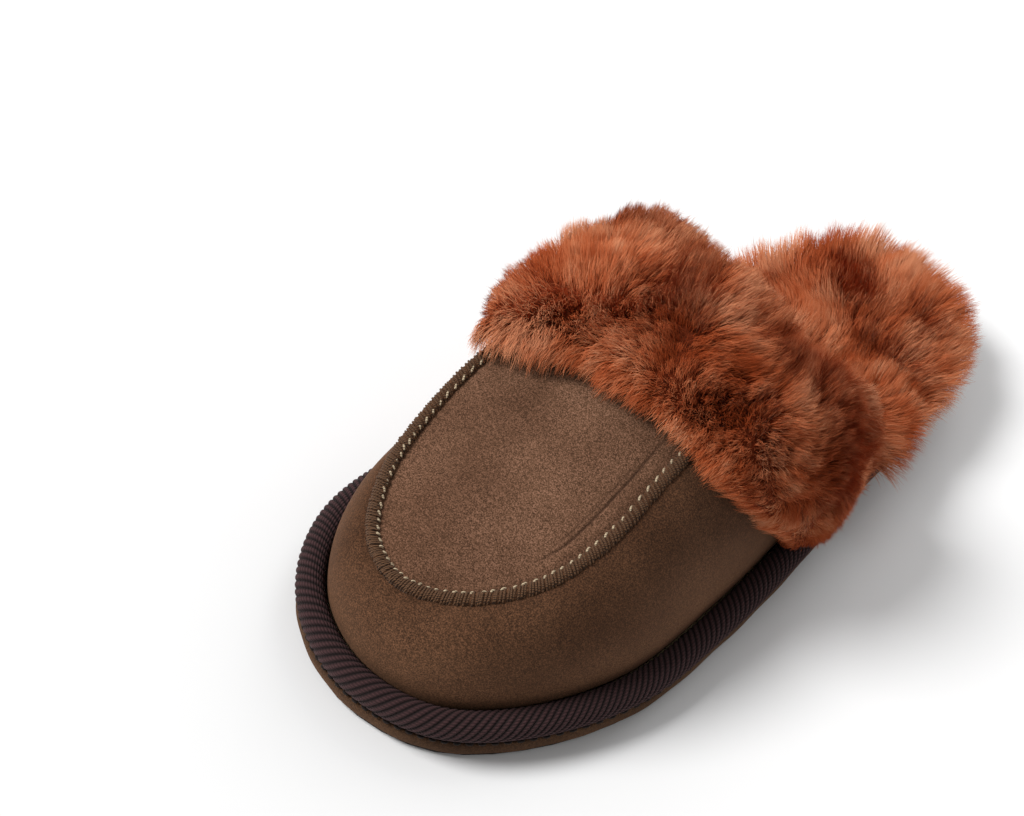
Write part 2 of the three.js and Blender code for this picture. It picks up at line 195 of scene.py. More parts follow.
def arch_point(arc, share, depth, foot=WALL_FOOT):
    """An arch of the upper over the foot, from the outer side (arc 0) to the inner side (arc 1)."""
    arc, share, depth = (a.copy() for a in np.broadcast_arrays(np.asarray(arc, float), share, depth))
    inner = arc > 0.5
    side = np.where(inner, 1 - share, share)
    climb = np.clip(np.where(inner, 1 - arc, arc) / WALL_SHARE, 0, 1)
    wall = wall_point(side, mix(rise_at(side, foot, depth), 1, climb), depth)
    across = np.clip((arc - WALL_SHARE) / (1 - 2 * WALL_SHARE), 0, 1)
    on_wall = (arc < WALL_SHARE) | (arc > 1 - WALL_SHARE)
    return np.where(on_wall[..., None], wall, apron_point(share, across, depth))


def collar_face(u, v):
    """The turned-down collar: v 0 is the mouth edge and 1 the front edge."""
    front = spline(COLLAR_FRONT, u)[..., 0] / (len(APRON_SEAM) - 1)
    return arch_point(u, v * front, COLLAR_BASE, COLLAR_FOOT)


class Sampled:
    """A surface worked out once on a fine grid, and read between its points after that."""

    def __init__(self, surface, nu=241, nv=121):
        u, v = np.meshgrid(np.linspace(0, 1, nu), np.linspace(0, 1, nv), indexing="ij")
        self.points = surface(u, v)

    def __call__(self, u, v):
        nu, nv, _ = self.points.shape
        x, y = np.clip(u, 0, 1) * (nu - 1), np.clip(v, 0, 1) * (nv - 1)
        i, j = np.minimum(x.astype(int), nu - 2), np.minimum(y.astype(int), nv - 2)
        s, t = (x - i)[..., None], (y - j)[..., None]
        low = mix(self.points[i, j], self.points[i + 1, j], s)
        high = mix(self.points[i, j + 1], self.points[i + 1, j + 1], s)
        return mix(low, high, t)


def slopes(surface, u, v, step=0.02):
    """Unit vectors along v, along u, and outwards."""
    along = unit(surface(u, np.minimum(v + step, 1)) - surface(u, np.maximum(v - step, 0)))
    across = unit(surface(np.minimum(u + step, 1), v) - surface(np.maximum(u - step, 0), v))
    return along, across, unit(np.cross(across, along))


collar_point = Sampled(collar_face)


def collar_back(u, v):
    """The rounded back of the collar's pile."""
    along, _, out = slopes(collar_point, u, v)
    middle = np.sin(np.pi * np.clip(u, 0, 1)) ** 0.6
    theta = np.pi * v
    height = mix(*COLLAR_HEIGHT, middle) * (0.25 + 0.75 * np.clip(np.sin(theta), 0, 1) ** 0.6)
    reach = np.where(v > 0.5, COLLAR_REACH_FRONT, mix(*COLLAR_REACH_BACK, middle))
    return collar_point(u, v) + out * height[..., None] - along * (reach * np.cos(theta))[..., None]


collar_top = Sampled(collar_back)


def heel_share(u):
    """0 where the outline is under the upper and 1 round the open heel."""
    return smooth(spline(SOLE_OUTLINE, u, True)[..., 1], *HEEL_STARTS)


def footbed_point(u, r, offsets=FOOTBED_OFFSET, z=FOOTBED_BASE):
    """The footbed from its middle (r 0) to its edge (r 1)."""
    edge = sole_point(u, mix(*offsets, heel_share(u)), 0)
    centre = np.array([*FOOTBED_CENTRE, 0])
    point = mix(centre, edge, np.asarray(r)[..., None])
    point[..., 2] = z
    return point


def footbed_top(u, r):
    """The top of the footbed's pile, which falls a little towards its edge."""
    falls_from = 0.72
    edge = np.clip((r - falls_from) / (1 - falls_from), 0, 1)
    return footbed_point(u, r, FOOTBED_BULGE, mix(*FOOTBED_TOP, edge**2))


lining_point = Sampled(lambda u, v: arch_point(u, v / 2, LINING_BASE, LINING_FOOT))
lining_top = Sampled(lambda u, v: arch_point(u, v / 2, LINING_REACH, LINING_FOOT))


# The frame's origin stands under the middle of the whole slipper, so the outline moves to its cover.
cover_low, cover_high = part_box("midsole_cover")
outline = sole_point(np.linspace(0, 1, 2000), 0, 0)
SHIFT = np.array((cover_low + cover_high) / 2) / MM - (outline.min(0) + outline.max(0)) / 2
SHIFT[2] = 0


# ---- making meshes ----
def grid(surface, nu, nv, u_span=(0, 1), v_span=(0, 1)):
    """Points of a surface on a grid of nu by nv."""
    u, v = np.meshgrid(np.linspace(*u_span, nu), np.linspace(*v_span, nv), indexing="ij")
    return surface(u, v)


def grid_faces(nu, nv, around_u=False, around_v=False):
    """The quads of a grid, which may close on itself either way."""
    i, j = np.meshgrid(np.arange(nu if around_u else nu - 1), np.arange(nv if around_v else nv - 1),
                       indexing="ij")
    i2, j2 = (i + 1) % nu, (j + 1) % nv
    return np.stack([i * nv + j, i2 * nv + j, i2 * nv + j2, i * nv + j2], -1).reshape(-1, 4)


def sheet_faces(nu, nv):
    """A closed sheet: a front grid, a back grid and the edge between them."""
    i, j = np.arange(nu), np.arange(nv)
    loop = np.concatenate([i[:-1] * nv, (nu - 1) * nv + j[:-1], i[:0:-1] * nv + nv - 1, j[:0:-1]])
    after = np.roll(loop, -1)
    count = nu * nv
    front = grid_faces(nu, nv)
    edge = np.stack([loop, loop + count, after + count, after], -1)
    return np.vstack([front, front[:, ::-1] + count, edge])


def add_piece(name, points, faces, material, replaced=(), shades=None):
    """A piece from points in millimetres, riding on the root body."""
    mesh = bpy.data.meshes.new(name)
    place = (np.asarray(points, float).reshape(-1, 3) + SHIFT) * MM
    mesh.from_pydata(place.tolist(), [], [list(f) for f in faces])
    materials = material if isinstance(material, list) else [material]
    for m in materials:
        mesh.materials.append(m)
    if shades is not None:
        mesh.polygons.foreach_set("material_index", shades)
    mesh.polygons.foreach_set("use_smooth", [True] * len(mesh.polygons))
    mesh.update()
    piece = bpy.data.objects.new(name, mesh)
    bpy.context.scene.collection.objects.link(piece)
    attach(piece, "root")
    if replaced:
        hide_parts(*replaced)
    return piece


def add_sheet(name, front, back, material, replaced=()):
    """A closed piece between two grids of points."""
    nu, nv, _ = front.shape
    points = np.concatenate([front.reshape(-1, 3), back.reshape(-1, 3)])
    piece = add_piece(name, points, sheet_faces(nu, nv), material, replaced)
    face_outwards(piece)
    return piece


def face_outwards(piece):
    """Turns every face of a closed piece outwards."""
    shape = bmesh.new()
    shape.from_mesh(piece.data)
    bmesh.ops.recalc_face_normals(shape, faces=shape.faces)
    shape.to_mesh(piece.data)
    shape.free()


def set_uv(piece, values):
    """Writes one (u, v) pair for each vertex as the piece's UV map."""
    layer = piece.data.uv_layers.new(name="UVMap")
    corners = np.empty(len(piece.data.loops), np.int64)
    piece.data.loops.foreach_get("vertex_index", corners)
    layer.data.foreach_set("uv", np.asarray(values, float)[corners].ravel())


def set_attribute(piece, name, values):
    """Writes one number for each vertex, for the materials to read."""
    piece.data.attributes.new(name, "FLOAT", "POINT").data.foreach_set("value", np.ravel(values))


def tubes(paths, radii, sides, up):
    """Round threads along paths of shape (n, m, 3), with the radii of shape (m,) or (n, m)."""
    paths = np.asarray(paths, float)
    n, m, _ = paths.shape
    along = unit(np.gradient(paths, axis=1))
    side = unit(np.cross(along, up))
    over = np.cross(side, along)
    turn = np.linspace(0, 2 * np.pi, sides, endpoint=False)
    ring = side[:, :, None] * np.cos(turn)[:, None] + over[:, :, None] * np.sin(turn)[:, None]
    points = paths[:, :, None] + ring * np.broadcast_to(radii, (n, m))[:, :, None, None]
    faces = []
    body = grid_faces(m, sides, around_v=True)
    for i in range(n):
        first = i * m * sides
        faces.extend((body + first).tolist())
        faces.append(list(range(first, first + sides)))
        faces.append(list(range(first + m * sides - 1, first + (m - 1) * sides - 1, -1)))
    return points.reshape(-1, 3), faces


class Field:
    """A smooth random field over space, with features of about the given size in millimetres."""

    def __init__(self, rng, size, waves=16):
        pace = 2 * np.pi / size * rng.uniform(0.5, 1.3, (waves, 1))
        self.pace = unit(rng.normal(size=(waves, 3))) * pace
        self.phase = rng.uniform(0, 2 * np.pi, waves)

    def __call__(self, points):
        return np.sin(points @ self.pace.T + self.phase).sum(-1) / math.sqrt(len(self.phase) / 2)


# ---- materials ----
def colour(text):
    """A colour written as six hex digits, as linear red, green, blue and alpha."""
    parts = [int(text[k:k + 2], 16) / 255 for k in (0, 2, 4)]
    return (*[p / 12.92 if p <= 0.04045 else ((p + 0.055) / 1.055) ** 2.4 for p in parts], 1)


class Look:
    """One material's node tree, with short calls for the nodes used here."""

    def __init__(self, name, **values):
        self.material = bpy.data.materials.new(name)
        self.material.use_nodes = True
        self.tree = self.material.node_tree
        self.shader = self.tree.nodes["Principled BSDF"]
        for socket, value in values.items():
            self.shader.inputs[socket.replace("_", " ")].default_value = value

    def node(self, kind, links=None, **settings):
        made = self.tree.nodes.new("ShaderNode" + kind)
        for key, value in settings.items():
            setattr(made, key, value)
        for socket, value in (links or {}).items():
            if isinstance(value, bpy.types.NodeSocket):
                self.tree.links.new(value, made.inputs[socket])
            else:
                made.inputs[socket].default_value = value
        return made

    def coordinates(self, scale=(1, 1, 1), uv=False, turn=0.0):
        source = self.node("TexCoord").outputs["UV" if uv else "Object"]
        mapped = self.node("Mapping", {"Vector": source, "Scale": scale, "Rotation": (0, 0, turn)})
        return mapped.outputs["Vector"]

    def noise(self, vector, size, detail=3.0, roughness=0.55):
        """Noise with features of about the given size in millimetres."""
        return self.node("TexNoise", {
            "Vector": vector, "Scale": 1 / (size * MM), "Detail": detail, "Roughness": roughness,
        }).outputs["Fac"]

    def ramp(self, factor, *stops):
        """A colour ramp through (place, colour) stops."""
        made = self.node("ValToRGB", {"Fac": factor})
        ramp = made.color_ramp
        while len(ramp.elements) < len(stops):
            ramp.elements.new(0.5)
        for element, (place, text) in zip(ramp.elements, stops):
            element.position = place
            element.color = colour(text)
        return made.outputs["Color"]

    def blend(self, factor, a, b, mode="MIX"):
        made = self.node("Mix", data_type="RGBA", blend_type=mode)
        for socket, value in ((0, factor), (6, a), (7, b)):
            if isinstance(value, bpy.types.NodeSocket):
                self.tree.links.new(value, made.inputs[socket])
            else:
                made.inputs[socket].default_value = value
        return made.outputs[2]

    def math(self, operation, a, b=0.0):
        return self.node("Math", {0: a, 1: b}, operation=operation).outputs[0]

    def finish(self, base, bump=None, strength=0.5, distance=0.3, roughness=None):
        """Joins the colour, the bump height (its distance in millimetres) and the roughness."""
        self.tree.links.new(base, self.shader.inputs["Base Color"])
        if bump is not None:
            normal = self.node("Bump", {"Height": bump, "Strength": strength, "Distance": distance * MM})
            self.tree.links.new(normal.outputs["Normal"], self.shader.inputs["Normal"])
        if roughness is not None:
            self.tree.links.new(roughness, self.shader.inputs["Roughness"])
        return self.material


def suede(name, dark, middle, light, worn):
    """Brushed suede: a fine mottled nap, soft stroked patches, a little wear, and painted shade where a
    mesh marks a crease.
    """
    look = Look(name, Roughness=0.95, Specular_IOR_Level=0.12, Sheen_Weight=0.28, Sheen_Roughness=0.55,
                Sheen_Tint=colour("c29474"))
    space = look.coordinates()
    nap = look.noise(space, 0.42, 3, 0.8)
    fleck = look.noise(space, 1.1, 3, 0.7)
    strokes = look.noise(look.coordinates(scale=(1, 0.35, 1), turn=0.4), 9, 4, 0.6)
    patches = look.noise(space, 34, 2, 0.5)
    tone = look.math("ADD", look.math("MULTIPLY", nap, 0.8), look.math("MULTIPLY", fleck, 0.2))
    base = look.ramp(tone, (0.4, dark), (0.5, middle), (0.6, light))
    base = look.blend(look.math("MULTIPLY", strokes, 0.3), base, colour(worn))
    shade = look.ramp(patches, (0.32, "beb6af"), (0.68, "ffffff"))
    base = look.blend(1.0, base, shade, "MULTIPLY")
    # Painted shade: the suede is darkened towards its dark colour along a crease that the mesh marks.
    crease_shade = look.node("Attribute", attribute_name="crease_shade").outputs["Fac"]
    base = look.blend(crease_shade, base, colour(dark))
    height = look.math("ADD", nap, fleck)
    rough = look.math("ADD", 0.82, look.math("MULTIPLY", nap, 0.2))
    return look.finish(base, height, 0.55, 0.25, rough)


def leather(name, dark, light):
    """The flesh side of a sheepskin, plain and dry."""
    look = Look(name, Roughness=0.85, Specular_IOR_Level=0.25)
    space = look.coordinates()
    grain = look.node("TexVoronoi", {"Vector": space, "Scale": 1 / (1.1 * MM)},
                      feature="DISTANCE_TO_EDGE").outputs["Distance"]
    tone = look.noise(space, 6, 4)
    return look.finish(look.ramp(tone, (0.3, dark), (0.7, light)), grain, 0.4, 0.15)


def twill():
    """Dark twill tape: diagonal ribs (their height is in the mesh) crossed by finer threads; its colour
    follows the rib's height, as painted shade in the grooves and a painted highlight on the rib tops.
    """
    look = Look("twill_tape", Roughness=0.88, Specular_IOR_Level=0.25, Sheen_Weight=0.15,
                Sheen_Roughness=0.5, Sheen_Tint=colour("8a6c6c"))
    rib = look.node("Attribute", attribute_name="rib").outputs["Fac"]
    thread = look.node("TexWave", {"Vector": look.coordinates(uv=True), "Scale": 0.3, "Distortion": 1.2,
                                   "Detail": 2.0, "Detail Scale": 2.0}).outputs["Fac"]
    lint = look.noise(look.coordinates(), 0.6, 3)
    # Painted shade and highlight: the grooves between ribs are darkest and the rib tops palest.
    base = look.ramp(rib, (0.2, "050202"), (0.62, "201213"), (0.98, "452c2d"))
    base = look.blend(look.math("MULTIPLY", thread, 0.5), base, colour("0e0707"))
    base = look.blend(look.math("MULTIPLY", lint, 0.15), base, colour("4a3634"))
    height = look.math("ADD", thread, look.math("MULTIPLY", lint, 0.5))
    return look.finish(base, height, 0.8, 0.25)


def thread(name, dark, light, twist=0.45):
    """Spun thread with a visible twist and a little fuzz."""
    look = Look(name, Roughness=0.75, Specular_IOR_Level=0.2, Sheen_Weight=0.05)
    space = look.coordinates()
    ply = look.node("TexWave", {"Vector": look.coordinates(turn=0.7), "Scale": 0.3 / (twist * MM),
                                "Distortion": 2.0, "Detail": 2.0}).outputs["Fac"]
    fuzz = look.noise(space, 0.5, 3)
    tone = look.math("ADD", look.math("MULTIPLY", ply, 0.6), look.math("MULTIPLY", fuzz, 0.5))
    return look.finish(look.ramp(tone, (0.2, dark), (0.8, light)), ply, 0.5, 0.15)


def pile_body(name, deep, middle):
    """The dense wool under the longer fibres, streaked by its own locks."""
    look = Look(name, Roughness=1.0, Specular_IOR_Level=0.05, Sheen_Weight=0.3, Sheen_Roughness=0.6,
                Sheen_Tint=colour("b5694a"))
    fibre = look.noise(look.coordinates(scale=(1, 0.3, 0.5)), 0.9, 4, 0.7)
    lock = look.noise(look.coordinates(), 6, 3)
    tone = look.math("ADD", look.math("MULTIPLY", fibre, 0.6), look.math("MULTIPLY", lock, 0.4))
    return look.finish(look.ramp(tone, (0.3, deep), (0.7, middle)), fibre, 0.9, 0.6)


def rubber():
    """The outsole's rubber: pebbled, and scuffed in places."""
    look = Look("rubber_sole", Roughness=0.8, Specular_IOR_Level=0.35)
    space = look.coordinates()
    scuff = look.noise(space, 3, 5, 0.65)
    pebble = look.node("TexVoronoi", {"Vector": space, "Scale": 1 / (0.9 * MM)}).outputs["Distance"]
    base = look.ramp(scuff, (0.3, "1e1814"), (0.6, "2b221d"), (0.85, "43372f"))
    return look.finish(base, pebble, 0.4, 0.15, look.math("ADD", 0.65, look.math("MULTIPLY", scuff, 0.3)))


def foam(name, dark, light, cell):
    """Foam or pressed board, with cells of the given size in millimetres."""
    look = Look(name, Roughness=0.95, Specular_IOR_Level=0.2)
    space = look.coordinates()
    cells = look.node("TexVoronoi", {"Vector": space, "Scale": 1 / (cell * MM)}).outputs["Distance"]
    return look.finish(look.ramp(cells, (0.1, dark), (0.6, light)), cells, 0.5, 0.3)


# Fur shades, from deep to pale, and how far up them a fibre's four parts climb: painted shade at the root,
# deep in the pile, and a painted highlight at the tip, where light catches and passes through.
FUR_SHADES = ["330d04", "5a1c08", "7f2e0f", "9c431d", "b25932", "c37048", "d08861"]
FUR_CLIMB = [0, 2, 3, 3]


def fur_shades():
    """The fibres' materials, from deep to pale, with more sheen on the pale ones."""
    looks = []
    for i, text in enumerate(FUR_SHADES):
        look = Look(f"fur_shade_{i + 1}", Base_Color=colour(text), Roughness=0.75,
                    Specular_IOR_Level=0.1, Sheen_Weight=0.06 * i, Sheen_Roughness=0.45,
                    Sheen_Tint=colour("eaa078"))
        looks.append(look.material)
    return looks


# The wall's suede is the apron's suede made darker: painted shade on the side walls.
SUEDE_WALL_SHADED = suede("suede_wall", "21140c", "503624", "80583f", "644631")
SUEDE_APRON = suede("suede_apron", "2d1c12", "684a36", "9d745e", "805d46")
SUEDE_STRIP = suede("suede_strip", "1f140d", "402c1e", "604530", "503826")
SHEEPSKIN = leather("sheepskin_leather", "4c2617", "70402a")
TWILL = twill()
OVERLOCK = thread("overlock_thread", "1c1009", "6e4e35")
IVORY = thread("ivory_thread", "6b5742", "d2bf9f", 0.6)
DARK_THREAD = thread("dark_thread", "0b0706", "241a16")
COTTON = thread("cotton_cord", "a89f8c", "ded6c4", 1.2)
PILE_BODY = pile_body("pile_underwool", "2e0f07", "7a3218")
RUBBER = rubber()
EVA = foam("eva_foam", "3b302a", "54463c", 0.8)
CUSHION = foam("cushion_foam", "b9a98c", "dccfb4", 0.6)
BOARD = foam("fibre_board", "8f7d60", "bba884", 0.35)
FUR = fur_shades()

# The outsole and the pieces that hardly show keep their frame mesh and take a finish.
KEPT_FINISHES = {
    "outsole": RUBBER, "midsole": EVA, "insole_board": BOARD, "insole_foam": CUSHION,
    "footbed_skin": SHEEPSKIN, "lining_skin": SHEEPSKIN, "collar_skin": SHEEPSKIN,
    "binding_cord": COTTON, "mouth_stitch_thread": DARK_THREAD,
}
for node_name, finish in KEPT_FINISHES.items():
    for material_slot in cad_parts[node_name].material_slots:
        material_slot.material = finish


# ---- sole ----
def section_ring(section, nu, nv):
    """A ring round the sole; section(u, turn) goes round its cross section."""
    u, turn = np.meshgrid(np.arange(nu) / nu, np.arange(nv) / nv, indexing="ij")
    return section(u, turn)


OUTLINE_STEPS = np.linspace(0, 1, 4001)
OUTLINE_RUNS = np.cumsum(np.linalg.norm(np.diff(sole_point(OUTLINE_STEPS, 0, 0), axis=0), axis=1))
OUTLINE_RUNS = np.concatenate([[0], OUTLINE_RUNS])
PERIMETER = float(OUTLINE_RUNS[-1])


def outline_share(run):
    """Where on the outline each distance along it lies."""
    return np.interp(np.mod(run, PERIMETER), OUTLINE_RUNS, OUTLINE_STEPS)


def midsole_strip():
    """A suede strip glued round the midsole, slightly full between its two edges."""
    nu, nv = 480, 24
    waves = 31  # round the sole, as glued by hand

    def section(u, turn):
        angle = 2 * np.pi * turn
        across = np.sign(np.cos(angle)) * np.abs(np.cos(angle)) ** 0.45
        up = np.sign(np.sin(angle)) * np.abs(np.sin(angle)) ** 0.6
        full = 0.35 * (1 - up**2) * (across > 0)
        wave = 0.12 * np.sin(2 * np.pi * u * waves) * (across > 0)
        offset = STRIP_THICK / 2 * (across - 1) + full + wave
        return sole_point(u, offset, mix(STRIP_BOTTOM, STRIP_TOP, (up + 1) / 2))

    points = section_ring(section, nu, nv)
    piece = add_piece("midsole_strip", points, grid_faces(nu, nv, True, True), SUEDE_STRIP,
                      ["midsole_cover"])
    face_outwards(piece)


def bell(share, middle, width):
    """A bump round one place of the outline, also across the outline's start."""
    return bump((share - middle + 0.5) % 1, 0.5, width)


def binding_roll():
    """Twill tape rolled over a cord: its ribs slant round the outside, from underneath to the top."""
    ribs = round(PERIMETER / RIB_PITCH)
    nu, nv = ribs * 10, 36
    half_wrap = math.radians(166)

    def section(share, turn):
        outside = turn < 0.5
        t = np.where(outside, turn * 2, 2 - turn * 2)
        angle = mix(-half_wrap, half_wrap, t)
        # The tape is pulled round the toe, so its ribs lean more there and less on the inner side.
        slant = RIB_SLANT + TOE_SLANT * bell(share, 0.07, 0.06) + INNER_SLANT * bell(share, 0.9, 0.08)
        u = outline_share(PERIMETER * share + slant * t)
        rib = np.abs(np.sin(np.pi * ribs * share)) ** 0.7
        swell = np.where(outside, (rib - 0.6) * RIB_HEIGHT, -TAPE_THICK)
        offset = ROLL_OFFSET + (ROLL_WIDE + swell) * np.cos(angle)
        place = sole_point(u, offset, ROLL_Z + (ROLL_HIGH + swell) * np.sin(angle))
        return place, np.where(outside, rib, 0), t

    points, rib, t = section_ring(section, nu, nv)
    piece = add_piece("binding_roll", points, grid_faces(nu, nv, True, True), TWILL,
                      ["binding_tape"])
    # The rib's height also goes to the tape's material, which paints shade in the grooves and a highlight
    # on the tops with it.
    set_attribute(piece, "rib", rib)
    run = PERIMETER * np.arange(nu)[:, None] / nu + 0 * t
    set_uv(piece, np.stack([t.ravel() * TAPE_WIDTH, run.ravel()], -1))
    face_outwards(piece)


def sole_stitches():
    """Short dark stitches in the groove between the strip and the binding."""
    count = round(PERIMETER / SOLE_STITCH_PITCH)
    centre = np.arange(count) / count
    t = np.linspace(-0.5, 0.5, 7)
    u = centre[:, None] + t * SOLE_STITCH_LENGTH / PERIMETER
    dip = 0.5 * np.abs(2 * t) ** 2.5
    paths = sole_point(u, 0.35 - dip, STRIP_TOP + 0.7)
    radii = SOLE_STITCH_RADIUS * np.sqrt(np.maximum(1 - (2 * t) ** 6, 0.05))
    points, faces = tubes(paths, radii, 8, np.array([0.0, 0.0, 1.0]))
    add_piece("sole_stitches", points, faces, DARK_THREAD, ["binding_stitch_thread"])


# ---- upper ----
def undulate(points, seed, amount, size):
    """Moves points by a soft random field, as leather that was lasted by hand."""
    rng = np.random.default_rng(seed)
    return np.stack([Field(rng, size)(points) for _ in range(3)], -1) * amount


def upper_wall():
    """The suede wall round the toe and both sides."""
    nu, nv = 300, 56
    front = grid(lambda u, v: wall_point(u, v, 0), nu, nv)
    back = grid(lambda u, v: wall_point(u, v, SUEDE_THICK), nu, nv)
    u, v = np.meshgrid(np.linspace(0, 1, nu), np.linspace(0, 1, nv), indexing="ij")
    # The suede puckers where the curved toe is gathered into the apron seam.
    puckers = 34
    toe = bump(u, 0.52, 0.16)
    pucker = 0.22 * toe * smooth(v, 0.55, 0.92) * np.sin(2 * np.pi * puckers * u)
    pucker = pucker + 0.5 * smooth(v, 0.86, 1.0)
    out = np.cross(unit(np.gradient(front, axis=0)), unit(np.gradient(front, axis=1)))
    # At the middle of the toe, outwards is towards -Y.
    out = out * -np.sign(out[nu // 2, 5, 1])
    soft = undulate(front, 11, 0.16, 30) * (np.sin(np.pi * v) ** 0.5)[..., None]
    front = front + out * pucker[..., None] + soft
    add_sheet("upper_wall", front, back, SUEDE_WALL_SHADED, ["vamp_wall"])


def upper_apron():
    """The suede apron over the instep."""
    nu, nv = 200, 220
    share, across = np.meshgrid(np.linspace(0, 0.496, nu), np.linspace(0, 1, nv), indexing="ij")
    front = apron_point(share, across, 0)
    back = apron_point(share, across, SUEDE_THICK)
    width = np.linalg.norm(front[:, -1] - front[:, 0], axis=-1)[:, None]
    from_seam = across * width
    # A thin fold runs beside the outer seam, with a swelling between the two.
    shown = smooth(share, 0.12, 0.19) * (1 - smooth(share, 0.27, 0.34))
    fold_line = 7.4 + 0.25 * np.sin(share * 60)
    fold = bump(from_seam, fold_line, 0.36) * shown
    fold += 0.4 * bump(from_seam, fold_line + 1.6, 0.3) * shown**3
    swell = 0.3 * bump(from_seam, 4.2, 1.6) * smooth(share, 0.05, 0.12)
    front[..., 2] += swell - 0.5 * fold
    front += undulate(front, 12, 0.2, 34) * (np.sin(np.pi * across) ** 0.5)[..., None]
    piece = add_sheet("upper_apron", front, back, SUEDE_APRON, ["apron"])
    # The fold's depth goes to the suede as painted shade in the crease.
    set_attribute(piece, "crease_shade", np.concatenate([0.75 * fold.ravel(), 0 * fold.ravel()]))


# ---- apron seam ----
SEAM_CURVE = spline(APRON_SEAM, np.linspace(0, 1, 2000))
SEAM_LENGTH = float(np.linalg.norm(np.diff(SEAM_CURVE, axis=0), axis=1).sum())
THREAD_UP = np.array([0.3, 0.2, 1.0])  # slanting, so that upright stretches get a round section too


def seam_frame(share):
    """The ridge's centre line, with unit vectors inwards over the apron and up."""
    share = np.asarray(share, float)
    step = 1e-3
    centre = seam_point(share, np.zeros_like(share)) + np.array([0, 0, RIDGE_LIFT])
    along = unit(spline(APRON_SEAM, share + step) - spline(APRON_SEAM, share - step))
    flat = unit(along * np.array([1, 1, 0]))
    inward = np.stack([flat[..., 1], -flat[..., 0], np.zeros_like(share)], -1)
    up = unit(np.cross(inward, along))
    up = up * np.sign(up[..., 2:])
    return centre, inward, up


def ridge_point(share, angle, radius):
    """A point on the ridge; angle 0 is over the apron, 90 degrees on top, 180 over the wall."""
    centre, inward, up = seam_frame(share)
    return centre + radius * (np.cos(angle)[..., None] * inward + np.sin(angle)[..., None] * up)


def seam_core():
    """The two raw suede edges standing in the seam, pinched by the stitches."""
    nu, nv = 900, 20
    share, turn = np.meshgrid(np.linspace(0.012, 0.988, nu), np.arange(nv) / nv, indexing="ij")
    angle = 2 * np.pi * turn
    pinch = 0.10 * np.cos(share * SEAM_LENGTH / STITCH_PITCH * 4 * np.pi)
    split = 0.28 * bump(angle, np.pi / 2, 0.22)
    radius = RIDGE_RADIUS - 0.28 + pinch - split
    points = ridge_point(share, angle, radius[..., None])
    faces = grid_faces(nu, nv, around_v=True).tolist()
    faces += [list(range(nv)), list(range(nu * nv - 1, nu * nv - nv - 1, -1))]
    add_piece("seam_core", points, faces, SUEDE_WALL_SHADED)


def overlock_loops():
    """Threads wrapped slanting over the seam's raw edges, a few for each needle stitch."""
    count = round(LOOPS_PER_STITCH * SEAM_LENGTH * SEAM_USED / STITCH_PITCH)
    rng = np.random.default_rng(21)
    start = np.linspace(0.018, 0.982, count) + rng.normal(0, 0.0006, count)
    t = np.linspace(0, 1, 14)
    slant = rng.normal(STITCH_PITCH * 0.7, 0.35, (count, 1)) / SEAM_LENGTH
    share = start[:, None] + (t - 0.5) * slant
    angle = np.broadcast_to(np.radians(mix(-18, 198, t)), share.shape)
    radius = RIDGE_RADIUS - 0.26 + rng.normal(0, 0.09, (count, 1)) + 0 * share
    paths = ridge_point(share, angle, radius[..., None])
    points, faces = tubes(paths, LOOP_RADIUS + 0 * t, 7, THREAD_UP)
    add_piece("overlock_loops", points, faces, OVERLOCK, ["apron_overlock_thread"])


def needle_stitches():
    """Ivory stitches that show on the ridge's inner shoulder."""
    count = round(SEAM_LENGTH * SEAM_USED / STITCH_PITCH)
    rng = np.random.default_rng(22)
    start = np.linspace(0.02, 0.98, count) + rng.normal(0, 0.0005, count)
    t = np.linspace(0, 1, 9)
    length = rng.uniform(1.2, 2.2, (count, 1)) / SEAM_LENGTH
    share = start[:, None] + (t - 0.5) * length
    angle = np.radians(mix(30, 64, t)) + rng.normal(0, 0.08, (count, 1))
    # The stitches lie deeper along the inner side.
    deep = 0.16 * smooth(start, 0.55, 0.7)[:, None] + np.abs(rng.normal(0, 0.12, (count, 1)))
    radius = RIDGE_RADIUS + 0.14 - deep - 0.4 * np.abs(2 * t - 1) ** 3
    paths = ridge_point(share, angle, radius[..., None])
    radii = NEEDLE_RADIUS * np.sqrt(np.maximum(1 - (2 * t - 1) ** 6, 0.05))
    points, faces = tubes(paths, radii, 8, THREAD_UP)
    add_piece("needle_stitches", points, faces, IVORY, ["apron_needle_thread"])


# ---- sheepskin pile ----
def spread(rng, surface, count, v_span=(0, 1)):
    """Even random places (u, v) over a surface, so that its large parts get more."""
    u = rng.uniform(0, 1, count * 6)
    v = rng.uniform(*v_span, count * 6)
    step = 0.004
    side = surface(np.minimum(u + step, 1), v) - surface(np.maximum(u - step, 0), v)
    away = surface(u, np.minimum(v + step, 1)) - surface(u, np.maximum(v - step, 0))
    area = np.linalg.norm(np.cross(side, away), axis=-1)
    kept = rng.uniform(size=len(u)) < area / np.percentile(area, 97)
    return u[kept][:count], v[kept][:count]


def nearest(points, centres):
    tree = kdtree.KDTree(len(centres))
    for i, centre in enumerate(centres):
        tree.insert(centre, i)
    tree.balance()
    return np.array([tree.find(p)[1] for p in points])


def tufts(rng, roots, size):
    """Parts the roots into tufts: the head of each tuft, each root's tuft, and how far out it stands."""
    area = np.sort(np.ptp(roots, axis=0))[1:].prod()
    heads = rng.choice(len(roots), int(1.4 * area / size**2), replace=False)
    mine = nearest(roots, roots[heads])
    apart = (roots - roots[heads][mine]) / size
    return heads, mine, apart


# The two sizes of tuft: how wide, how far its head leans, how far it draws its fibres in, and how
# far its rim sinks.
TUFTS = [(14, 2.2, 0.16, 0.04), (4, 1.2, 0.38, 0.1)]
MEAN_RISE = 1.12  # a fibre's mean length, as a share of the pile's height


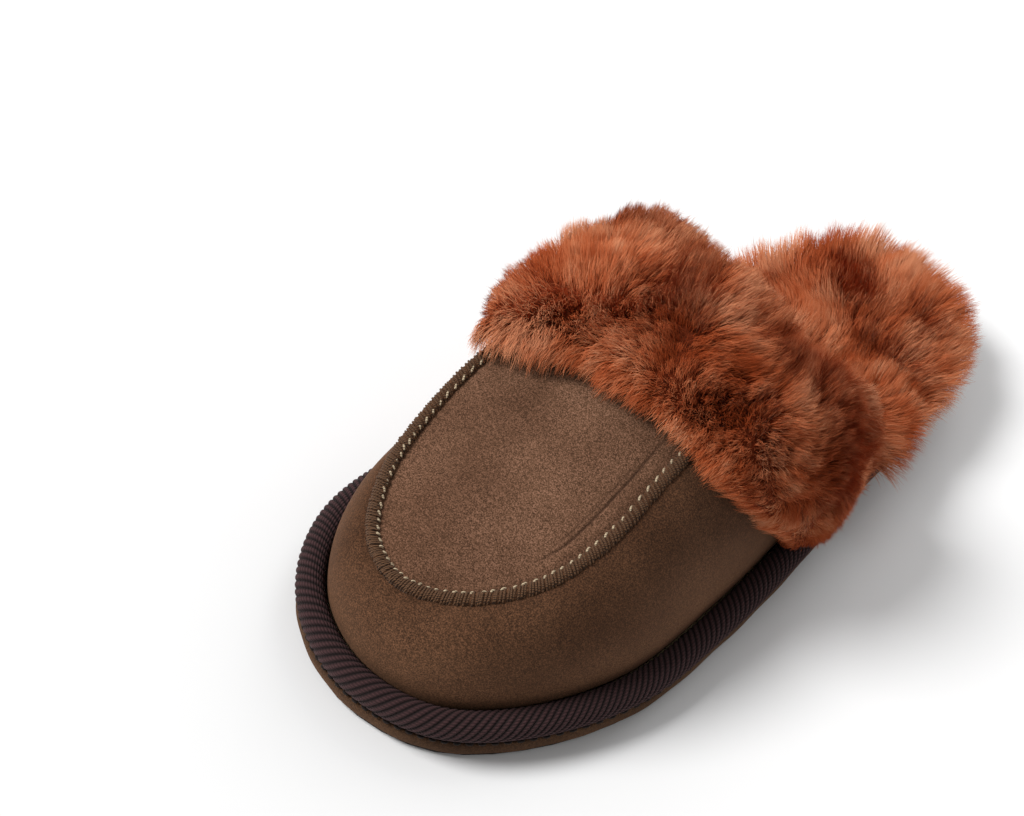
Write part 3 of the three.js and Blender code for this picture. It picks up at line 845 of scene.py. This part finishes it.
def combed(rng, roots, tips, outward, flow, loose):
    """The tips leaned over by a slow field, some fibres longer than others, and each one's rise."""
    count = len(roots)
    comb = np.stack([Field(rng, 28)(roots) for _ in range(3)], -1) * flow
    comb -= outward * (comb * outward).sum(-1, keepdims=True)
    rise = MEAN_RISE + 0.07 * Field(rng, 15)(roots)[:, None] + rng.normal(0, 0.05, (count, 1))
    long_ones = rng.uniform(size=(count, 1)) < 0.02
    rise = rise + long_ones * rng.uniform(0.05, 0.15, (count, 1))
    return roots + (tips - roots) * rise + comb * loose, rise[:, 0]


def gathered(rng, roots, tips, outward, loose, shade):
    """The tips drawn into tufts, each fibre's shade, darker at a tuft's rim as painted shade where the
    tufts part, and where its tuft puffs.
    """
    puff = outward
    for size, lean, pull, sink in TUFTS:
        heads, mine, apart = tufts(rng, roots, size)
        out = np.minimum(np.linalg.norm(apart, axis=-1, keepdims=True) * 1.7, 1)
        tips = tips - (tips - roots) * sink * out**2
        head_tips = tips[heads] + unit(rng.normal(size=(len(heads), 3))) * lean
        tips = mix(tips, head_tips[mine], rng.uniform(0.4, 1.0, (len(roots), 1)) * pull * loose)
        # Painted shade: fibres at a tuft's rim take darker shades, where the tufts part.
        shade = shade + rng.normal(0, 0.2, len(heads))[mine] + 0.2 - 0.5 * out[:, 0] ** 2
        puff = puff + apart * 0.5
    return tips, shade, unit(puff)


def ribbons(rng, roots, tips, outward, height, puff):
    """A bent ribbon for each fibre: 4 pairs of points and its tip, with normals that follow its tuft."""
    count = len(roots)
    bend = roots + (tips - roots) * 0.35 + outward * height * 0.3 + rng.normal(0, 1.1, (count, 3))
    tips = tips + rng.normal(0, 0.6, (count, 3))
    t = np.linspace(0, 1, 5)[:, None]
    curve = roots[:, None] * (1 - t) ** 2 + 2 * bend[:, None] * t * (1 - t) + tips[:, None] * t**2
    ahead = unit(np.gradient(curve, axis=1))
    facing = outward + rng.normal(0, 0.3, (count, 3))
    side = unit(np.cross(ahead, facing[:, None]))
    taper = np.array([0.9, 1.0, 0.85, 0.6])[:, None]
    half = FIBRE_WIDTH / 2 * taper * rng.uniform(0.7, 1.25, (count, 1, 1))
    pairs = np.stack([curve[:, :4] - side[:, :4] * half, curve[:, :4] + side[:, :4] * half], 2)
    points = np.concatenate([pairs.reshape(count, 8, 3), curve[:, 4:]], 1)
    face = np.cross(side, ahead)
    normals = unit(mix(face, puff[:, None], 0.55))[:, [0, 0, 1, 1, 2, 2, 3, 3, 4]]
    return points, normals


def ribbon_faces(count):
    """Three quads and a triangle for each ribbon."""
    first = np.arange(count)[:, None, None] * 9
    quads = first + np.array([[2 * k, 2 * k + 1, 2 * k + 3, 2 * k + 2] for k in range(3)])
    ends = first + np.array([[6, 7, 8]])
    return [face for fibre in zip(quads.tolist(), ends.tolist()) for part in fibre for face in part]


def grow_fur(name, parts, rng, roots, tips, outward, along, edge=0.0, tone=0.0, flow=2.5):
    """Fibres from roots to tips: combed by a slow field, gathered into tufts of two sizes, each fibre a
    fine ribbon whose four parts climb from a deep shade to a pale one, painted shade at the root and a
    painted highlight at the tip. Longer fibres, which stand above the rest, take paler shades as painted
    light on the pile's top. They are split into parts in the order of along. Where edge is 1 they are
    drawn less into their tufts, tone makes them paler, and flow is how far the field combs them."""
    count = len(roots)
    loose = 1 - 0.55 * np.broadcast_to(edge, count)[:, None]
    height = np.linalg.norm(tips - roots, axis=-1, keepdims=True)
    tips, rise = combed(rng, roots, tips, outward, flow, loose)
    shade = 1.45 + tone + 0.5 * Field(rng, 26)(roots) + 0.4 * Field(rng, 8)(roots)
    # Painted light: longer fibres, standing above the rest, take paler shades.
    shade = shade + 3.0 * (rise - MEAN_RISE)
    shade = shade + rng.normal(0, 0.4, count)
    tips, shade, puff = gathered(rng, roots, tips, outward, loose, shade)
    points, normals = ribbons(rng, roots, tips, outward, height, puff)
    start = np.clip(np.round(shade), 0, len(FUR_SHADES) - 1 - max(FUR_CLIMB)).astype(int)
    for number, chosen in enumerate(np.array_split(np.argsort(along), parts), 1):
        shades = (start[chosen][:, None] + FUR_CLIMB).ravel()
        piece = add_piece(f"{name}_{number}" if parts > 1 else name, points[chosen],
                          ribbon_faces(len(chosen)), FUR, shades=shades)
        piece.data.normals_split_custom_set_from_vertices(normals[chosen].reshape(-1, 3).tolist())


def closed_pile(name, bottom, top, replaced=()):
    """The pile's dense body, a closed padded form under the fibres."""
    piece = add_sheet(name, top, bottom, PILE_BODY, replaced)


def lumps(points, seed, size, amount):
    """A soft unevenness over a surface."""
    rng = np.random.default_rng(seed)
    return (Field(rng, size)(points) + 0.5 * Field(rng, size / 2.5)(points)) * amount


def collar_pile():
    """The turned-down collar's pile, from the mouth (v 0) to its front edge (v 1)."""
    nu, nv = 200, 60
    base = grid(collar_point, nu, nv)
    top = grid(collar_top, nu, nv)
    v = np.linspace(0, 1, nv)[None, :, None]
    share = (BODY_SHARE + lumps(base, 31, 9, BODY_LUMPS)[..., None]) * (1 - 0.7 * smooth(v, 0.8, 1))
    closed_pile("collar_pile_body", base, mix(base, top, share), ["collar_pile"])
    rng = np.random.default_rng(32)
    u, v = spread(rng, collar_top, COLLAR_FIBRES)
    tips = collar_top(u, v)
    roots = mix(collar_point(u, v), tips, ROOT_DEPTH)
    outward = unit(tips - roots)
    # At its edges the pile droops: forwards over the apron, back into the mouth and down at both ends.
    forward = unit(collar_point(u, 0 * v + 1) - collar_point(u, 0 * v + 0.8))
    over = unit(collar_top(u, 0 * v + 0.5) - collar_point(u, 0 * v + 0.5))
    front, back = smooth(v, 0.78, 1)[:, None], 1 - smooth(v, 0, 0.12)[:, None]
    ends = smooth(np.abs(2 * u - 1), 0.93, 1)[:, None]
    reach = (0.8 + 2.2 * smooth(u, 0.42, 0.5) + 2.6 * bump(u, 0.58, 0.05))[:, None]
    droop = 2.0 + 2.5 * smooth(np.abs(u - 0.48), 0.14, 0.22)[:, None]
    droop = droop + 7.5 * rng.uniform(size=(len(u), 1)) ** 1.4
    tips = tips + forward * (reach * front - 1.0 * back) - over * (droop * front + 1.0 * back)
    # The pile is fullest at the mouth, towards the inner side.
    tips = tips + outward * (3.6 * bump(u, 0.75, 0.1) * (1 - smooth(v, 0.4, 0.9)))[:, None]
    tips[:, 2] -= 3.0 * ends[:, 0]
    edge = np.maximum(np.maximum(front, back), ends)[:, 0]
    # It is palest at the mouth, a painted highlight where the rim meets the light, and deepest along the
    # middle of the band.
    tone = 0.3 + 0.75 * (1 - smooth(v, 0, 0.35)) - 0.35 * bump(v, 0.55, 0.16)
    grow_fur("collar_fur", 4, rng, roots, tips, outward, u, edge, tone)


def footbed_pile():
    """The footbed's pile, from its middle (r nearly 0) to its edge (r 1)."""
    nu, nv = 260, 40
    span = (0.02, 1)
    base = grid(footbed_point, nu, nv, v_span=span)
    top = grid(footbed_top, nu, nv, v_span=span)
    r = np.linspace(*span, nv)[None, :, None]
    share = (BODY_SHARE + lumps(base, 41, 12, BODY_LUMPS)[..., None]) * (1 - 0.8 * smooth(r, 0.85, 0.98))
    closed_pile("footbed_pile_body", base, mix(base, top, share), ["footbed_pile"])
    rng = np.random.default_rng(42)
    u, r = spread(rng, footbed_top, FOOTBED_FIBRES, v_span=span)
    tips = footbed_top(u, r)
    roots = mix(footbed_point(u, r), tips, ROOT_DEPTH)
    # Further in under the upper nothing shows, so the body does without fibres there.
    seen = roots[:, 1] > -40
    r, tips, roots = r[seen], tips[seen], roots[seen]
    outward = unit(tips - roots + np.array([0, 0, 6.0]))
    edge = smooth(r, 0.75, 1)
    away = unit((tips - np.array([*FOOTBED_CENTRE, 0])) * np.array([1, 1, 0])) * edge[:, None]
    inner = smooth(-tips[:, :1], 0, 30)
    outer = smooth(tips[:, :1], 10, 30) * (1 - smooth(tips[:, 1:2], 25, 60))
    # Round the heel the outermost fibres fan from upright to hanging down over the binding, lowest on
    # the outer side next to the upper.
    fan = rng.uniform(0, 1, (len(r), 1)) ** 0.65 * np.pi / 2
    tips = tips + np.array([0.5, 0.5, 1.5]) + away * (-0.5 + 5.5 * np.sin(fan) + 3.0 * (inner + outer))
    hang = (11.0 + 2.0 * outer) * (1 - np.cos(fan)) - 2.2 * np.cos(fan)
    tips[:, 2] += 2.5 * inner[:, 0] - hang[:, 0] * smooth(r, 0.82, 0.95)
    grow_fur("footbed_fur", 3, rng, roots, tips, outward, roots[:, 1], edge, 0.5, 2.6)


def lining_pile():
    """The pile inside the upper; only its part near the mouth shows, so only that has fibres."""
    nu, nv = 160, 60
    base = grid(lining_point, nu, nv)
    top = mix(base, grid(lining_top, nu, nv), 0.6)
    closed_pile("lining_pile_body", base, top, ["lining_pile"])
    rng = np.random.default_rng(52)
    u, v = spread(rng, lining_point, LINING_FIBRES, v_span=(0, 0.5))
    roots = mix(lining_point(u, v), lining_top(u, v), ROOT_DEPTH)
    tips = lining_top(u, np.maximum(v - 0.02, 0))
    # Its fibres take deeper shades than the collar's (tone -0.6): painted shade inside the upper.
    grow_fur("lining_fur", 1, rng, roots, tips, unit(tips - roots), u, tone=-0.6)


def mouth_roll(u, t, back, swell):
    """Round the mouth's edge, where the sheepskin turns over from the collar (t 0) to the lining (t 1)."""
    outer, inner = collar_point(u, 0 * t), lining_point(u, 0 * t)
    backwards = unit(collar_point(u, 0 * t) - collar_point(u, 0 * t + 0.2))
    angle = np.pi * np.asarray(t)[..., None]
    across = (outer - inner) / 2 * swell * np.cos(angle)
    return (outer + inner) / 2 + across + backwards * back * np.sin(angle)


def mouth_pile():
    """The pile of the turned edge, which bridges the gap between the collar and the lining."""
    nu, nt = 200, 24
    base = grid(lambda u, t: mouth_roll(u, t, 1.0, 0.9), nu, nt)
    top = grid(lambda u, t: mouth_roll(u, t, 4.0, 1.15), nu, nt)
    closed_pile("mouth_pile_body", base, top)
    # Its fibres are uneven in length, so that the rim is soft.
    rng = np.random.default_rng(62)
    roll_top = Sampled(lambda u, t: mouth_roll(u, t, 11.5, 2.0), 161, 41)
    u, t = spread(rng, roll_top, MOUTH_FIBRES)
    roots, tips = mouth_roll(u, t, 2.5, 1.0), roll_top(u, t)
    tips = mix(roots, tips, rng.uniform(0.72, 1.1, (len(u), 1)))
    ends = smooth(np.abs(2 * u - 1), 0.94, 1)
    tips[:, 2] -= 2.0 * ends
    # At its outer end it also hangs back over the footbed's edge.
    hang = (1 - smooth(u, 0, 0.14))[:, None] * rng.uniform(size=(len(u), 1))
    tips = tips + hang * np.array([1.5, 5.0, -3.0])
    grow_fur("mouth_fur", 1, rng, roots, tips, unit(tips - roots), u, ends, 0.4, 2.0)


midsole_strip()
binding_roll()
sole_stitches()
upper_wall()
upper_apron()
seam_core()
overlock_loops()
needle_stitches()
collar_pile()
footbed_pile()
lining_pile()
mouth_pile()


# ---- floor, light and camera ----
def floor():
    """A plain pale floor, in metres."""
    size = 3.0
    mesh = bpy.data.meshes.new("floor")
    corners = [(-size, -size, 0), (size, -size, 0), (size, size, 0), (-size, size, 0)]
    mesh.from_pydata(corners, [], [(0, 1, 2, 3)])
    look = Look("floor", Base_Color=(0.86, 0.86, 0.86, 1), Roughness=0.9)
    mesh.materials.append(look.material)
    ground = bpy.data.objects.new("floor", mesh)
    bpy.context.scene.collection.objects.link(ground)


def area_light(name, place, power, size):
    """A square soft box aimed at the slipper."""
    data = bpy.data.lights.new(name, "AREA")
    data.energy = power
    data.size = size
    lamp = bpy.data.objects.new(name, data)
    lamp.location = place
    lamp.rotation_euler = (-Vector(place)).to_track_quat("-Z", "Y").to_euler()
    bpy.context.scene.collection.objects.link(lamp)


def sun(power, softness):
    """The key light: broad and soft, from high on the inner side of the toe."""
    data = bpy.data.lights.new("key", "SUN")
    data.energy = power
    data.angle = math.radians(softness)
    lamp = bpy.data.objects.new("key", data)
    lamp.rotation_euler = Vector((-0.52, -0.44, 0.73)).to_track_quat("Z", "Y").to_euler()
    bpy.context.scene.collection.objects.link(lamp)


def light():
    """A pale world, a broad key light and a weak fill behind the heel."""
    world = bpy.data.worlds.new("studio")
    world.use_nodes = True
    world.node_tree.nodes["Background"].inputs["Color"].default_value = (1, 1, 1, 1)
    world.node_tree.nodes["Background"].inputs["Strength"].default_value = 0.38
    bpy.context.scene.world = world
    sun(2.9, 25)
    area_light("fill", (-0.2, 0.9, 0.9), 5, 0.9)


CAMERA_PLACE = (233.4, -415.7, 551.6)
CAMERA_AZIMUTH, CAMERA_ELEVATION, CAMERA_ROLL = 35.54, 48.14, 15.37
CAMERA_LENS = 78.15


def camera():
    """A long lens that looks down at the toe from the outer side."""
    data = bpy.data.cameras.new("camera")
    data.lens = CAMERA_LENS
    data.sensor_width = 36
    eye = bpy.data.objects.new("camera", data)
    turn = (Matrix.Rotation(math.radians(CAMERA_AZIMUTH), 4, "Z")
            @ Matrix.Rotation(math.radians(90 - CAMERA_ELEVATION), 4, "X")
            @ Matrix.Rotation(math.radians(CAMERA_ROLL), 4, "Z"))
    eye.matrix_world = Matrix.Translation(Vector((np.array(CAMERA_PLACE) + SHIFT) * MM)) @ turn
    bpy.context.scene.collection.objects.link(eye)
    bpy.context.scene.camera = eye


floor()
light()
camera()
bpy.context.scene.view_settings.view_transform = "Standard"
